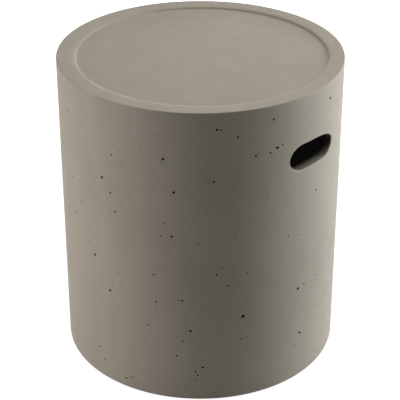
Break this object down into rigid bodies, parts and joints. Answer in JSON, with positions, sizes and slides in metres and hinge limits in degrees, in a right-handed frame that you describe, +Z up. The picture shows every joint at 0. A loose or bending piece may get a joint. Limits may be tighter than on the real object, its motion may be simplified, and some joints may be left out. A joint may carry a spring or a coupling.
{
  "type": "outdoor side table",
  "caption": "Round hollow drum side table in cast concrete, with a shallow tray top inside a flat rim, hand holes through the wall and screwed rubber foot pads.",
  "frame": {"origin": "on the ground under the middle of the drum", "axes": "+Z up the drum's axis; +X out through the middle of one hand hole, with the other at -X"},
  "size_m": [0.406, 0.406, 0.457],
  "materials": {
    "concrete": "matte, as cast, with pinholes",
    "rubber": "matte",
    "steel": "plain stainless",
    "nylon": "natural"
  },
  "bodies": {
    "root": {"drum_casting": "concrete", "foot_pad_1": "rubber", "foot_pad_2": "rubber", "foot_pad_3": "rubber", "foot_pad_4": "rubber", "foot_screw_1": "steel", "foot_screw_2": "steel", "foot_screw_3": "steel", "foot_screw_4": "steel", "foot_insert_1": "nylon", "foot_insert_2": "nylon", "foot_insert_3": "nylon", "foot_insert_4": "nylon"}
  },
  "joints": []
}
